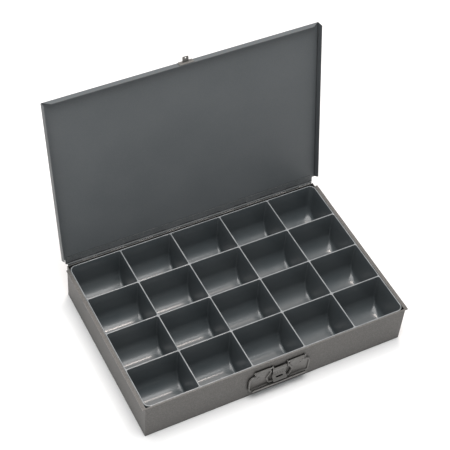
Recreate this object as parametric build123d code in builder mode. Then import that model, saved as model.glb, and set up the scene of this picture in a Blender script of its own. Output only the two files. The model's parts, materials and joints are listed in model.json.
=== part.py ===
from build123d import *
import os

os.makedirs("parts", exist_ok=True)

# Sheet-steel parts case, lid standing open on its hinge, handle and hasp hanging.
# X runs along the front, Y to the back, Z up; origin on the underside, mid width and mid depth.

# ---- sizes, in millimetres ----
sheet = 1.0  # gauge of case and lid
case_width = 445.0
case_depth = 295.0
case_height = 71.5
bend_radius = 1.2  # outside radius of a folded edge
top_fold_radius = 0.72  # tighter fold along the top of the front wall
side_lip = 4.7  # outward runner along each side wall
lip_rear_gap = 8.0  # the runner stops this far short of the back
front_return = 2.5  # inward fold along the top of the front wall
seam_width = 0.4
seam_depth = 0.35

insert_side_gap = 0.4  # between tray and side wall
insert_front_gap = 0.3  # between tray and the front fold
insert_rear_gap = 2.4  # between tray and rear wall
insert_wall = 1.8
insert_floor = 1.8
divider = 2.0
columns = 5
rows = 4
row_margin = 5.8  # depth that the four equal rows leave over
row_shift = 0.9  # middle row divider, behind the case centre
scoop_front = 24.0
scoop_rear = 24.0
cell_side_radius = 4.0  # bottom edges beside a divider
cell_outer_radius = 12.0  # bottom edges beside the outer wall
cell_corner = 2.5  # upright corners of a cell
tray_corner = 10.0  # upright corners of the whole tray
rim_round = 0.6

lid_clear = 3.7  # between the case's top and the closed lid
lid_side_clear = 0.4  # between a runner and the lid's side
lid_front_clear = 5.3  # between the front wall and the lid's front fold
lid_side_flange = 12.7
lid_front_flange = 10.0
lid_tail = 1.0  # sheet behind the pin
flange_bevel_x = 11.0
flange_bevel_z = 9.0
lid_notch = 5.6  # narrowing of the lid beside the hinge
lid_notch_length = 9.0
flange_end_slope = 6.5
lid_fold_radius = 0.96
open_angle = 101.0

hinge_leaf = 0.85  # leaf thickness
hinge_barrel = 1.75  # outside radius of the knuckles
hinge_clear = 0.35  # between the knuckles and the lid above them
hinge_bore = 0.95
hinge_pin_radius = 0.9
hinge_short = 4.0  # the hinge is this much shorter than the case
knuckle_count = 18
knuckle_gap = 0.3
hinge_pin_overhang = 0.4
hinge_pin_chamfer = 0.2
leaf_down = 12.0  # leaf width below the pin, on the case
leaf_along = 12.5  # leaf width from the pin, on the lid
leaf_clear = 0.45  # between a knuckle and the other leaf

strike_width = 24.0
strike_height = 9.0
strike_inset = 0.5  # below the lid's top
tongue_width = 10.0
tongue_length = 9.0
tongue_drop = 4.0  # tongue centre below the lid's top
tongue_hole = 1.2
tongue_hole_out = 6.5
tongue_tip_round = 2.0
strike_corner = 1.5
strike_rivet_x = 8.5
rivet_head = 2.0
rivet_shank = 1.2
rivet_rise = 0.9
rivet_head_slope = 30.0
rivet_tail = 1.8
rivet_tail_rise = 0.54
rivet_tail_slope = 15.0

handle_drop = 14.0  # handle pivot below the case's top
handle_axis_out = 2.3  # pivot in front of the front wall
handle_half = 53.0
handle_height = 40.0  # from the pivot down to the lower edge
shoulder_down = 8.0  # shoulder below the pivot
shoulder_cut = 5.0  # corner taken off each shoulder
handle_back_gap = 0.75  # turned-back edge, from the wall
handle_pan = 3.4  # depth of the stamped pan
pan_miter = 0.4  # the pan's wall keeps the gauge round the cut corners
pan_lean = 0.6
wing_inner = 17.0
wing_outer = 41.6
wing_up = 0.6  # pan's upper edge below the pivot
notch_half = 13.9
notch_down = 9.5  # narrow part of the notch starts this far below the pivot
notch_floor = 33.5
notch_wide = 21.0  # the notch flares to this half width
notch_wide_down = 20.0
notch_foot = 16.5
handle_barrel = 1.85
pin_bore = 1.05
pin_radius = 1.0
curl_out = 4.4  # how far the finger curl stands out
curl_rise = 4.2
curl_bevel = 1.2
curl_nick = 0.2
curl_step = 0.4
handle_heel = 0.9  # round along the lower front edge

hasp_axis_out = 3.2
hasp_below = 5.0  # hasp pivot below the handle's
hasp_half = 11.7
hasp_barrel = 1.9
hasp_length = 25.5
hasp_lip = 9.0
hasp_hang = 8.0  # degrees inward from plumb
hasp_slot_half = 6.0
hasp_slot_near = 20.0
hasp_slot_far = 23.0
hasp_bead = 0.6
hasp_bead_step = 5.5
hasp_bead_length = 14.0
hasp_bead_width = 2.4
hasp_bead_down = 10.5
hasp_bead_slope = 35.0
hasp_fold_inside = 0.8
hasp_fold_outside = 0.95
hasp_edge = 0.3

bracket_half = 46.0
bracket_up = 5.5  # plate edges, from the handle's pivot
bracket_down = 14.5
lug_up = 2.7
lug_down = 2.9
lug_cover = 2.1  # metal in front of a pin's centre line
inner_lug = 12.2
inner_lug_thick = 1.2
outer_lug = 42.2
outer_lug_thick = 1.0
lug_round = 0.9
slot_play = 0.2
bracket_rivet_down = 10.5
bracket_rivets_x = (-36.0, -22.0, 22.0, 36.0)
bracket_rivet_head = 2.3
bracket_corner = 2.0
lug_extra = 0.3  # the inner lugs stand out this much further
pin_start = 0.1  # a handle pin starts this far inside its lug
pin_head = 1.7
pin_head_thick = 0.8
cut_over = 1.0  # a cut runs past the metal by this much

# ---- derived positions ----
half_w = case_width / 2
half_d = case_depth / 2
front_y = -half_d
column_pitch = (case_width - 2 * sheet) / columns
row_pitch = (case_depth - row_margin) / rows
closed_height = case_height + lid_clear + sheet
lid_half = half_w + side_lip + lid_side_clear + sheet
lid_front_y = front_y - lid_front_clear - sheet
hinge_length = case_width - hinge_short
hinge_y = half_d + hinge_barrel
hinge_z = case_height + lid_clear - hinge_clear - hinge_barrel
hinge_axis = Axis((0, hinge_y, hinge_z), (1, 0, 0))
lid_back_y = hinge_y + lid_tail
handle_y = front_y - handle_axis_out
handle_axis_z = case_height - handle_drop
handle_back_out = handle_back_gap
handle_face_out = handle_back_gap + handle_pan
handle_bottom = handle_axis_z - handle_height
handle_shoulder = handle_axis_z - shoulder_down
handle_top = handle_axis_z - wing_up
notch_top = handle_axis_z - notch_down
notch_bottom = handle_axis_z - notch_floor
notch_mid = handle_axis_z - notch_wide_down
hasp_y = front_y - hasp_axis_out
hasp_axis_z = handle_axis_z - hasp_below
hasp_axis = Axis((0, hasp_y, hasp_axis_z), (1, 0, 0))
inner_lug_out = hasp_axis_out + lug_cover + lug_extra
outer_lug_out = handle_axis_out + lug_cover
inner_lug_low = hasp_axis_z - lug_down
outer_lug_low = handle_axis_z - lug_down
inner_lug_high = handle_axis_z + lug_up
outer_lug_high = handle_axis_z + lug_up
bracket_low = handle_axis_z - bracket_down
bracket_high = handle_axis_z + bracket_up
bracket_rivet_z = handle_axis_z - bracket_rivet_down


def block(x0, x1, y0, y1, z0, z1, mode=Mode.ADD):
    """A box between two corners, inside the builder that is open."""
    with BuildSketch(Plane.XY.offset(z0)) as plan:
        with Locations(((x0 + x1) / 2, (y0 + y1) / 2)):
            Rectangle(x1 - x0, y1 - y0)
    extrude(plan.sketch, amount=z1 - z0, mode=mode)


def rod(x0, x1, y, z, radius, mode=Mode.ADD):
    """A round bar along X, inside the builder that is open."""
    with BuildSketch(Plane.YZ.offset(x0)) as end:
        with Locations((y, z)):
            Circle(radius)
    extrude(end.sketch, amount=x1 - x0, mode=mode)


def stud(x, y0, y1, z, radius, mode=Mode.ADD):
    """A round bar along Y, inside the builder that is open."""
    with BuildSketch(Plane.XZ.offset(-y0)) as end:
        with Locations((x, z)):
            Circle(radius)
    extrude(end.sketch, amount=y0 - y1, mode=mode)


def opened(shape):
    """The lid's parts are drawn closed and swung up to the open stop."""
    return shape.rotate(hinge_axis, -open_angle)


# ---- folded case ----
with BuildPart() as body_shell:
    block(-half_w, half_w, -half_d, half_d, 0, case_height)
    fillet(body_shell.edges().filter_by(Axis.Z), bend_radius)
    fillet(body_shell.edges().group_by(Axis.Z)[0], bend_radius)
    block(
        -half_w + sheet, half_w - sheet, -half_d + sheet, half_d - sheet,
        sheet, case_height, Mode.SUBTRACT,
    )
    for side in (-1, 1):
        wall_x = side * (half_w - sheet)
        tip_x = side * (half_w + side_lip)
        block(
            min(wall_x, tip_x), max(wall_x, tip_x), -half_d, half_d - lip_rear_gap,
            case_height - sheet, case_height,
        )
    block(
        -half_w + sheet / 2, half_w - sheet / 2, -half_d, -half_d + front_return,
        case_height - sheet, case_height,
    )
    fold_edges = body_shell.edges().filter_by(Axis.X).group_by(Axis.Z)[-1]
    fillet(fold_edges.sort_by(Axis.Y)[0], top_fold_radius)
    for side in (-1, 1):
        seam_x = side * half_w
        block(
            seam_x - seam_depth, seam_x + seam_depth,
            half_d - lip_rear_gap - seam_width, half_d - lip_rear_gap,
            bend_radius * 2, case_height, Mode.SUBTRACT,
        )
        inner_x = side * (inner_lug + inner_lug_thick / 2)
        outer_x = side * (outer_lug + outer_lug_thick / 2)
        block(
            inner_x - inner_lug_thick / 2 - slot_play, inner_x + inner_lug_thick / 2 + slot_play,
            front_y - sheet, front_y + sheet * 1.5,
            inner_lug_low - slot_play, inner_lug_high + slot_play, Mode.SUBTRACT,
        )
        block(
            outer_x - outer_lug_thick / 2 - slot_play, outer_x + outer_lug_thick / 2 + slot_play,
            front_y - sheet, front_y + sheet * 1.5,
            outer_lug_low - slot_play, outer_lug_high + slot_play, Mode.SUBTRACT,
        )
    for rivet_x in bracket_rivets_x:
        stud(rivet_x, front_y + sheet * 1.5, front_y - sheet, bracket_rivet_z, rivet_shank, Mode.SUBTRACT)
body_shell.part.label = "body_shell"
export_step(body_shell.part, "parts/body_shell.step")

# ---- moulded tray of scoop cells ----
tray_half_x = half_w - sheet - insert_side_gap
tray_front = front_y + front_return + insert_front_gap
tray_rear = half_d - sheet - insert_rear_gap
floor_z = sheet + insert_floor
room_half_x = tray_half_x - insert_wall
room_front = tray_front + insert_wall
room_rear = tray_rear - insert_wall


def cell_bounds(column, row):
    """Plan limits of one cell; row 0 is the front one."""
    x0 = -column_pitch * columns / 2 + column * column_pitch + divider / 2
    x1 = x0 + column_pitch - divider
    y0 = row_shift + (row - rows / 2) * row_pitch + divider / 2
    y1 = y0 + row_pitch - divider
    if column == 0:
        x0 = -room_half_x
    if column == columns - 1:
        x1 = room_half_x
    if row == 0:
        y0 = room_front
    if row == rows - 1:
        y1 = room_rear
    return x0, x1, y0, y1


def cell(column, row):
    """The hollow of one cell: a scooped side view, a rounded front view and a rounded plan."""
    x0, x1, y0, y1 = cell_bounds(column, row)
    height = case_height - floor_z
    left_radius = cell_outer_radius if column == 0 else cell_side_radius
    right_radius = cell_outer_radius if column == columns - 1 else cell_side_radius
    with BuildPart() as hollow:
        with BuildSketch(Plane.YZ.offset(x0)) as side_view:
            with Locations(((y0 + y1) / 2, floor_z + height / 2)):
                Rectangle(y1 - y0, height)
            fillet(side_view.vertices().sort_by_distance((y0, floor_z, 0))[0], scoop_front)
            fillet(side_view.vertices().sort_by_distance((y1, floor_z, 0))[0], scoop_rear)
        extrude(amount=x1 - x0)
        with BuildSketch(Plane.XZ.offset(-y1)) as front_view:
            with Locations(((x0 + x1) / 2, floor_z + height / 2)):
                Rectangle(x1 - x0, height)
            fillet(front_view.vertices().sort_by_distance((x0, floor_z, 0))[0], left_radius)
            fillet(front_view.vertices().sort_by_distance((x1, floor_z, 0))[0], right_radius)
        extrude(amount=y1 - y0, mode=Mode.INTERSECT)
        with BuildSketch(Plane.XY.offset(floor_z)) as plan:
            with Locations(((x0 + x1) / 2, (y0 + y1) / 2)):
                Rectangle(x1 - x0, y1 - y0)
            for x, end_x in ((x0, -room_half_x), (x1, room_half_x)):
                for y, end_y in ((y0, room_front), (y1, room_rear)):
                    outer = x == end_x and y == end_y
                    radius = tray_corner - insert_wall if outer else cell_corner
                    fillet(plan.vertices().sort_by_distance((x, y, 0))[0], radius)
        extrude(amount=height, mode=Mode.INTERSECT)
    return hollow.part


with BuildPart() as compartment_insert:
    block(-tray_half_x, tray_half_x, tray_front, tray_rear, sheet, case_height)
    fillet(compartment_insert.edges().filter_by(Axis.Z), tray_corner)
    for column in range(columns):
        for row in range(rows):
            add(cell(column, row), mode=Mode.SUBTRACT)
    fillet(compartment_insert.faces().sort_by(Axis.Z)[-1].edges(), rim_round)
compartment_insert.part.label = "compartment_insert"
export_step(compartment_insert.part, "parts/compartment_insert.step")

# ---- continuous hinge ----
knuckle_pitch = hinge_length / knuckle_count
hinge_start = -hinge_length / 2
pin_half = hinge_length / 2 + hinge_pin_overhang


def knuckle_span(index):
    """Ends of one knuckle along X."""
    start = hinge_start + index * knuckle_pitch
    return start + knuckle_gap / 2, start + knuckle_pitch - knuckle_gap / 2


with BuildPart() as hinge_leaf_body:
    block(
        hinge_start, -hinge_start, half_d, half_d + hinge_leaf,
        hinge_z - leaf_down, hinge_z,
    )
    for index in range(knuckle_count):
        x0, x1 = knuckle_span(index)
        if index % 2 == 0:
            rod(x0, x1, hinge_y, hinge_z, hinge_barrel)
        else:
            block(
                x0 - knuckle_gap, x1 + knuckle_gap, half_d - cut_over, half_d + hinge_leaf + cut_over,
                hinge_z - hinge_barrel - leaf_clear, hinge_z + cut_over, Mode.SUBTRACT,
            )
    rod(hinge_start - cut_over, -hinge_start + cut_over, hinge_y, hinge_z, hinge_bore, Mode.SUBTRACT)
hinge_leaf_body.part.label = "hinge_leaf_body"
export_step(hinge_leaf_body.part, "parts/hinge_leaf_body.step")

with BuildPart() as leaf_closed:
    leaf_top = closed_height - sheet
    block(
        hinge_start, -hinge_start, hinge_y - leaf_along, hinge_y,
        leaf_top - hinge_leaf, leaf_top,
    )
    for index in range(knuckle_count):
        x0, x1 = knuckle_span(index)
        if index % 2 == 1:
            rod(x0, x1, hinge_y, hinge_z, hinge_barrel)
        else:
            block(
                x0 - knuckle_gap, x1 + knuckle_gap,
                hinge_y - hinge_barrel - leaf_clear, hinge_y + cut_over,
                hinge_z, leaf_top + cut_over, Mode.SUBTRACT,
            )
    rod(hinge_start - cut_over, -hinge_start + cut_over, hinge_y, hinge_z, hinge_bore, Mode.SUBTRACT)
hinge_leaf_lid = opened(leaf_closed.part)
hinge_leaf_lid.label = "hinge_leaf_lid"
export_step(hinge_leaf_lid, "parts/hinge_leaf_lid.step")

with BuildPart() as hinge_pin:
    rod(-pin_half, pin_half, hinge_y, hinge_z, hinge_pin_radius)
    chamfer(hinge_pin.edges().filter_by(GeomType.CIRCLE), hinge_pin_chamfer)
hinge_pin.part.label = "hinge_pin"
export_step(hinge_pin.part, "parts/hinge_pin.step")

# ---- folded lid, drawn closed ----
lid_top = closed_height
strike_low = lid_top - strike_inset - strike_height
lid_under = lid_top - sheet
with BuildPart() as lid_closed:
    block(-lid_half, lid_half, lid_front_y, lid_back_y, lid_under, lid_top)
    for side in (-1, 1):
        outer_x = side * lid_half
        inner_x = side * (lid_half - sheet)
        with BuildSketch(Plane.YZ.offset(min(outer_x, inner_x))):
            with BuildLine():
                Polyline(
                    (lid_front_y, lid_top - sheet / 2),
                    (lid_front_y, lid_top - lid_side_flange),
                    (lid_back_y - lid_notch_length - flange_end_slope, lid_top - lid_side_flange),
                    (lid_back_y - lid_notch_length, lid_top - sheet / 2),
                    close=True,
                )
            make_face()
        extrude(amount=sheet)
    with BuildSketch(Plane.XZ.offset(-lid_front_y)):
        with BuildLine():
            Polyline(
                (-lid_half + sheet * 2, lid_top - sheet / 2),
                (lid_half - sheet * 2, lid_top - sheet / 2),
                (lid_half - sheet * 2, lid_top - lid_front_flange + flange_bevel_z),
                (lid_half - sheet * 2 - flange_bevel_x, lid_top - lid_front_flange),
                (-lid_half + sheet * 2 + flange_bevel_x, lid_top - lid_front_flange),
                (-lid_half + sheet * 2, lid_top - lid_front_flange + flange_bevel_z),
                close=True,
            )
        make_face()
    extrude(amount=-sheet)
    for side in (-1, 1):
        edge_x = side * lid_half
        notch_x = side * (lid_half - lid_notch)
        block(
            min(edge_x, notch_x), max(edge_x, notch_x),
            lid_back_y - lid_notch_length, lid_back_y + cut_over,
            lid_under - cut_over, lid_top + cut_over, Mode.SUBTRACT,
        )
    long_folds = lid_closed.edges().filter_by(Axis.Y).group_by(Axis.Z)[-1]
    fillet([long_folds.sort_by(Axis.X)[0], long_folds.sort_by(Axis.X)[-1]], bend_radius)
    front_fold = lid_closed.edges().filter_by(Axis.X).group_by(Axis.Z)[-1].sort_by(Axis.Y)[0]
    fillet(front_fold, lid_fold_radius)
    for side in (-1, 1):
        stud(
            side * strike_rivet_x, lid_front_y + sheet * 1.5, lid_front_y - sheet,
            strike_low + strike_height / 2, rivet_shank, Mode.SUBTRACT,
        )
lid_panel = opened(lid_closed.part)
lid_panel.label = "lid_panel"
export_step(lid_panel, "parts/lid_panel.step")

# ---- strike on the lid's front fold ----
strike_face = lid_front_y - sheet
tongue_z = lid_top - tongue_drop
with BuildPart() as strike_closed:
    block(
        -strike_width / 2, strike_width / 2, strike_face, lid_front_y,
        strike_low, strike_low + strike_height,
    )
    fillet(strike_closed.edges().filter_by(Axis.Y), strike_corner)
    block(
        -tongue_width / 2, tongue_width / 2, strike_face - tongue_length, strike_face + sheet / 2,
        tongue_z - sheet / 2, tongue_z + sheet / 2,
    )
    tip_edges = strike_closed.edges().filter_by(Axis.Z).group_by(Axis.Y)[0]
    fillet(tip_edges, tongue_tip_round)
    with BuildSketch(Plane.XY.offset(tongue_z - sheet)):
        with Locations((0, strike_face - tongue_hole_out)):
            Circle(tongue_hole)
    extrude(amount=sheet * 2, mode=Mode.SUBTRACT)
    for side in (-1, 1):
        stud(
            side * strike_rivet_x, lid_front_y + sheet, strike_face - sheet,
            strike_low + strike_height / 2, rivet_shank, Mode.SUBTRACT,
        )
lid_strike = opened(strike_closed.part)
lid_strike.label = "lid_strike"
export_step(lid_strike, "parts/lid_strike.step")


def rivet(x, z, head_y, tail_y, head_radius):
    """Shank between two outer faces, with a low domed head and a small upset tail."""
    stud(x, tail_y, head_y, z, rivet_shank)
    with BuildSketch(Plane.XZ.offset(-head_y)) as head:
        with Locations((x, z)):
            Circle(head_radius)
    extrude(head.sketch, amount=rivet_rise, taper=rivet_head_slope)
    with BuildSketch(Plane.XZ.offset(-tail_y)) as tail:
        with Locations((x, z)):
            Circle(rivet_tail)
    extrude(tail.sketch, amount=-rivet_tail_rise, taper=rivet_tail_slope)


for side, place in ((-1, "left"), (1, "right")):
    with BuildPart() as rivet_closed:
        rivet(
            side * strike_rivet_x, strike_low + strike_height / 2,
            strike_face, lid_front_y + sheet, rivet_head,
        )
    strike_rivet = opened(rivet_closed.part)
    strike_rivet.label = "strike_rivet_" + place
    export_step(strike_rivet, "parts/strike_rivet_" + place + ".step")

# ---- bracket behind the front wall, its lugs standing out through slots ----
with BuildPart() as latch_bracket:
    back_y = front_y + sheet * 2
    block(-bracket_half, bracket_half, front_y + sheet, back_y, bracket_low, bracket_high)
    fillet(latch_bracket.edges().filter_by(Axis.Y), bracket_corner)
    for side in (-1, 1):
        inner_x = side * (inner_lug + inner_lug_thick / 2)
        outer_x = side * (outer_lug + outer_lug_thick / 2)
        with BuildSketch(Plane.YZ.offset(inner_x - inner_lug_thick / 2)):
            with BuildLine():
                Polyline(
                    (back_y, inner_lug_low),
                    (front_y - inner_lug_out, inner_lug_low),
                    (front_y - inner_lug_out, hasp_axis_z + lug_up),
                    (front_y - outer_lug_out, inner_lug_high),
                    (back_y, inner_lug_high),
                    close=True,
                )
            make_face()
        extrude(amount=inner_lug_thick)
        with BuildSketch(Plane.YZ.offset(outer_x - outer_lug_thick / 2)):
            with BuildLine():
                Polyline(
                    (back_y, outer_lug_low),
                    (front_y - outer_lug_out, outer_lug_low),
                    (front_y - outer_lug_out, outer_lug_high),
                    (back_y, outer_lug_high),
                    close=True,
                )
            make_face()
        extrude(amount=outer_lug_thick)
    lug_edges = latch_bracket.edges().filter_by(Axis.X)
    lug_tips = lug_edges.filter_by_position(
        Axis.Y, front_y - inner_lug_out - pin_radius, front_y - outer_lug_out + pin_start
    )
    fillet(lug_tips, lug_round)
    rod(-bracket_half, bracket_half, handle_y, handle_axis_z, pin_radius, Mode.SUBTRACT)
    rod(-bracket_half, bracket_half, hasp_y, hasp_axis_z, pin_radius, Mode.SUBTRACT)
    for rivet_x in bracket_rivets_x:
        stud(rivet_x, back_y + cut_over, front_y, bracket_rivet_z, rivet_shank, Mode.SUBTRACT)
latch_bracket.part.label = "latch_bracket"
export_step(latch_bracket.part, "parts/latch_bracket.step")

for rivet_x, place in zip(bracket_rivets_x, ("outer_left", "inner_left", "inner_right", "outer_right")):
    with BuildPart() as bracket_rivet:
        stud(rivet_x, back_y, front_y, bracket_rivet_z, rivet_shank)
        with BuildSketch(Plane.XZ.offset(-front_y)):
            with Locations((rivet_x, bracket_rivet_z)):
                Circle(bracket_rivet_head)
        extrude(amount=rivet_rise, taper=rivet_head_slope)
    bracket_rivet.part.label = "bracket_rivet_" + place
    export_step(bracket_rivet.part, "parts/bracket_rivet_" + place + ".step")

for side, place in ((-1, "left"), (1, "right")):
    with BuildPart() as handle_pin:
        near = side * (inner_lug + pin_start)
        far = side * (outer_lug + outer_lug_thick)
        head = side * (outer_lug + outer_lug_thick + pin_head_thick)
        rod(min(near, far), max(near, far), handle_y, handle_axis_z, pin_radius)
        rod(min(far, head), max(far, head), handle_y, handle_axis_z, pin_head)
    handle_pin.part.label = "handle_pin_" + place
    export_step(handle_pin.part, "parts/handle_pin_" + place + ".step")

# ---- drop handle ----
with BuildPart() as carry_handle:
    with BuildSketch(Plane.XZ.offset(-front_y + handle_back_out)) as outline:
        with BuildLine():
            Polyline(
                (-handle_half, handle_bottom),
                (handle_half, handle_bottom),
                (handle_half, handle_shoulder - shoulder_cut),
                (handle_half - shoulder_cut, handle_shoulder),
                (wing_outer, handle_shoulder),
                (wing_outer, handle_top),
                (wing_inner, handle_top),
                (notch_half, notch_top),
                (notch_wide, notch_mid),
                (notch_foot, notch_bottom),
                (-notch_foot, notch_bottom),
                (-notch_wide, notch_mid),
                (-notch_half, notch_top),
                (-wing_inner, handle_top),
                (-wing_outer, handle_top),
                (-wing_outer, handle_shoulder),
                (-handle_half + shoulder_cut, handle_shoulder),
                (-handle_half, handle_shoulder - shoulder_cut),
                close=True,
            )
        make_face()
    extrude(amount=handle_face_out - handle_back_out)
    outer_face = carry_handle.faces().filter_by(Axis.Y).sort_by(Axis.Y)[0]
    fillet(outer_face.edges().filter_by(Axis.X).group_by(Axis.Z)[0], handle_heel)
    with BuildSketch(Plane.XZ.offset(-front_y + handle_back_out)) as pan:
        with BuildLine():
            Polyline(
                (-handle_half + sheet, handle_bottom - cut_over),
                (handle_half - sheet, handle_bottom - cut_over),
                (handle_half - sheet, handle_shoulder - shoulder_cut - pan_miter),
                (handle_half - shoulder_cut - pan_miter, handle_shoulder - sheet),
                (wing_outer - sheet, handle_shoulder - sheet),
                (wing_outer - sheet, handle_top - sheet),
                (wing_inner + pan_lean, handle_top - sheet),
                (notch_half + sheet, notch_top),
                (notch_wide + sheet + pan_miter, notch_mid),
                (notch_foot + sheet, notch_bottom - sheet),
                (-notch_foot - sheet, notch_bottom - sheet),
                (-notch_wide - sheet - pan_miter, notch_mid),
                (-notch_half - sheet, notch_top),
                (-wing_inner - pan_lean, handle_top - sheet),
                (-wing_outer + sheet, handle_top - sheet),
                (-wing_outer + sheet, handle_shoulder - sheet),
                (-handle_half + shoulder_cut + pan_miter, handle_shoulder - sheet),
                (-handle_half + sheet, handle_shoulder - shoulder_cut - pan_miter),
                close=True,
            )
        make_face()
    extrude(amount=handle_face_out - handle_back_out - sheet, mode=Mode.SUBTRACT)
    for side in (-1, 1):
        near = side * wing_inner
        far = side * wing_outer
        rod(min(near, far), max(near, far), handle_y, handle_axis_z, handle_barrel)
    rod(-handle_half, handle_half, handle_y, handle_axis_z, pin_bore, Mode.SUBTRACT)
    with BuildSketch(Plane.YZ.offset(-handle_half)) as curl:
        face_y = front_y - handle_face_out
        with BuildLine():
            Polyline(
                (face_y + sheet, handle_bottom + curl_bevel),
                (face_y + sheet, handle_bottom + curl_nick),
                (face_y - curl_nick, handle_bottom - sheet),
                (face_y - curl_out + curl_bevel, handle_bottom - sheet),
                (face_y - curl_out, handle_bottom + curl_step),
                (face_y - curl_out, handle_bottom + curl_rise),
                (face_y - curl_out + sheet, handle_bottom + curl_rise),
                (face_y - curl_out + sheet, handle_bottom + curl_step * 2),
                (face_y - curl_out + sheet + curl_step * 2, handle_bottom),
                (face_y - curl_step, handle_bottom),
                (face_y, handle_bottom + curl_bevel),
                close=True,
            )
        make_face()
    extrude(amount=handle_half * 2)
carry_handle.part.label = "carry_handle"
export_step(carry_handle.part, "parts/carry_handle.step")

# ---- hasp that swings up over the lid's tongue ----
with BuildPart() as hasp_pin:
    rod(-inner_lug - inner_lug_thick, inner_lug + inner_lug_thick, hasp_y, hasp_axis_z, pin_radius)
hasp_pin.part.label = "hasp_pin"
export_step(hasp_pin.part, "parts/hasp_pin.step")

with BuildPart() as hasp_plumb:
    outer_y = hasp_y - hasp_barrel
    tip_z = hasp_axis_z - hasp_length
    block(-hasp_half, hasp_half, outer_y, outer_y + sheet, tip_z, hasp_axis_z)
    block(-hasp_half, hasp_half, hasp_y - hasp_lip, outer_y + sheet, tip_z, tip_z + sheet)
    inner_fold = hasp_plumb.edges().filter_by(Axis.X).filter_by_position(
        Axis.Z, tip_z + sheet / 2, tip_z + sheet * 2
    )
    fillet(inner_fold.sort_by(Axis.Y)[-1], hasp_fold_inside)
    heel = hasp_plumb.edges().filter_by(Axis.X).group_by(Axis.Z)[0].sort_by(Axis.Y)[-1]
    fillet(heel, hasp_fold_outside)
    fillet(hasp_plumb.edges().filter_by(Axis.Z).group_by(Axis.Y)[0], hasp_edge)
    for bead in (-1, 0, 1):
        with BuildSketch(Plane.XZ.offset(-outer_y)):
            with Locations((bead * hasp_bead_step, hasp_axis_z - hasp_bead_down)):
                SlotOverall(hasp_bead_length, hasp_bead_width, rotation=90)
        extrude(amount=hasp_bead, taper=hasp_bead_slope)
    rod(-hasp_half, hasp_half, hasp_y, hasp_axis_z, hasp_barrel)
    rod(-hasp_half - cut_over, hasp_half + cut_over, hasp_y, hasp_axis_z, pin_bore, Mode.SUBTRACT)
    block(
        -hasp_slot_half, hasp_slot_half, outer_y - hasp_bead - cut_over, outer_y + sheet + cut_over,
        hasp_axis_z - hasp_slot_far, hasp_axis_z - hasp_slot_near, Mode.SUBTRACT,
    )
hasp_latch = hasp_plumb.part.rotate(hasp_axis, hasp_hang)
hasp_latch.label = "hasp_latch"
export_step(hasp_latch, "parts/hasp_latch.step")
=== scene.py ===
import bpy
import bmesh
import json
import math
from mathutils import Matrix, Vector


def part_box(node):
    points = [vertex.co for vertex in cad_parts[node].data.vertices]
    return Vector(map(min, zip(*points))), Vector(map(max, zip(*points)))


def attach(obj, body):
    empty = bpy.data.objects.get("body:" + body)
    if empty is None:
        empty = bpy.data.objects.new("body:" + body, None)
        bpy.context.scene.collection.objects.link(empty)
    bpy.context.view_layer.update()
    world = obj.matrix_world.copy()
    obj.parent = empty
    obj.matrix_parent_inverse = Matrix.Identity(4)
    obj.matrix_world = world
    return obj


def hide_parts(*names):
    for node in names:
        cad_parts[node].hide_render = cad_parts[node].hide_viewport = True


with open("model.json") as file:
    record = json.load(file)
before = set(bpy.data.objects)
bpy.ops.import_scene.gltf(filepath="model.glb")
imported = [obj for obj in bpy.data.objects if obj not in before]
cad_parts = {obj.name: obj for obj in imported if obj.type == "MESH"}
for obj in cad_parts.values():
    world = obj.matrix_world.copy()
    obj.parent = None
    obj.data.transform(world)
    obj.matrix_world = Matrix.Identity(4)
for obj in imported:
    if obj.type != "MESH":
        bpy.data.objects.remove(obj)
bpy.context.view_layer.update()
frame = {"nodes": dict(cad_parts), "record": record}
scene = bpy.context.scene
print("frame loaded,", len(frame["nodes"]), "cad nodes")

mm = 0.001


def newMaterial(name):
    mat = bpy.data.materials.new(name)
    mat.use_nodes = True
    mat.node_tree.nodes.clear()
    out = mat.node_tree.nodes.new("ShaderNodeOutputMaterial")
    shader = mat.node_tree.nodes.new("ShaderNodeBsdfPrincipled")
    mat.node_tree.links.new(shader.outputs[0], out.inputs[0])
    return mat, shader


def addNode(mat, kind, **values):
    node = mat.node_tree.nodes.new(kind)
    for key, value in values.items():
        setattr(node, key, value)
    return node


def link(mat, source, target):
    mat.node_tree.links.new(source, target)


def objectCoords(mat, scale):
    coords = addNode(mat, "ShaderNodeTexCoord")
    mapping = addNode(mat, "ShaderNodeMapping")
    mapping.inputs["Scale"].default_value = scale
    link(mat, coords.outputs["Object"], mapping.inputs["Vector"])
    return mapping.outputs["Vector"]


def noise(mat, vector, scale, detail=3.0, rough=0.55):
    tex = addNode(mat, "ShaderNodeTexNoise")
    tex.inputs["Scale"].default_value = scale
    tex.inputs["Detail"].default_value = detail
    tex.inputs["Roughness"].default_value = rough
    link(mat, vector, tex.inputs["Vector"])
    return tex.outputs["Fac"]


def spread(mat, source, low, high, outLow, outHigh):
    node = addNode(mat, "ShaderNodeMapRange")
    node.inputs["From Min"].default_value = low
    node.inputs["From Max"].default_value = high
    node.inputs["To Min"].default_value = outLow
    node.inputs["To Max"].default_value = outHigh
    link(mat, source, node.inputs["Value"])
    return node.outputs["Result"]


def blendColours(mat, factor, first, second):
    # inputs 6 and 7 are the mix node's colours, output 2 its colour result
    node = addNode(mat, "ShaderNodeMix", data_type="RGBA")
    for socket, value in ((node.inputs[6], first), (node.inputs[7], second)):
        if isinstance(value, tuple):
            socket.default_value = (*value, 1.0)
        else:
            link(mat, value, socket)
    link(mat, factor, node.inputs[0])
    return node.outputs[2]


def calc(mat, operation, a, b):
    node = addNode(mat, "ShaderNodeMath", operation=operation)
    for socket, value in ((node.inputs[0], a), (node.inputs[1], b)):
        if isinstance(value, (int, float)):
            socket.default_value = value
        else:
            link(mat, value, socket)
    return node.outputs[0]


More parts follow.
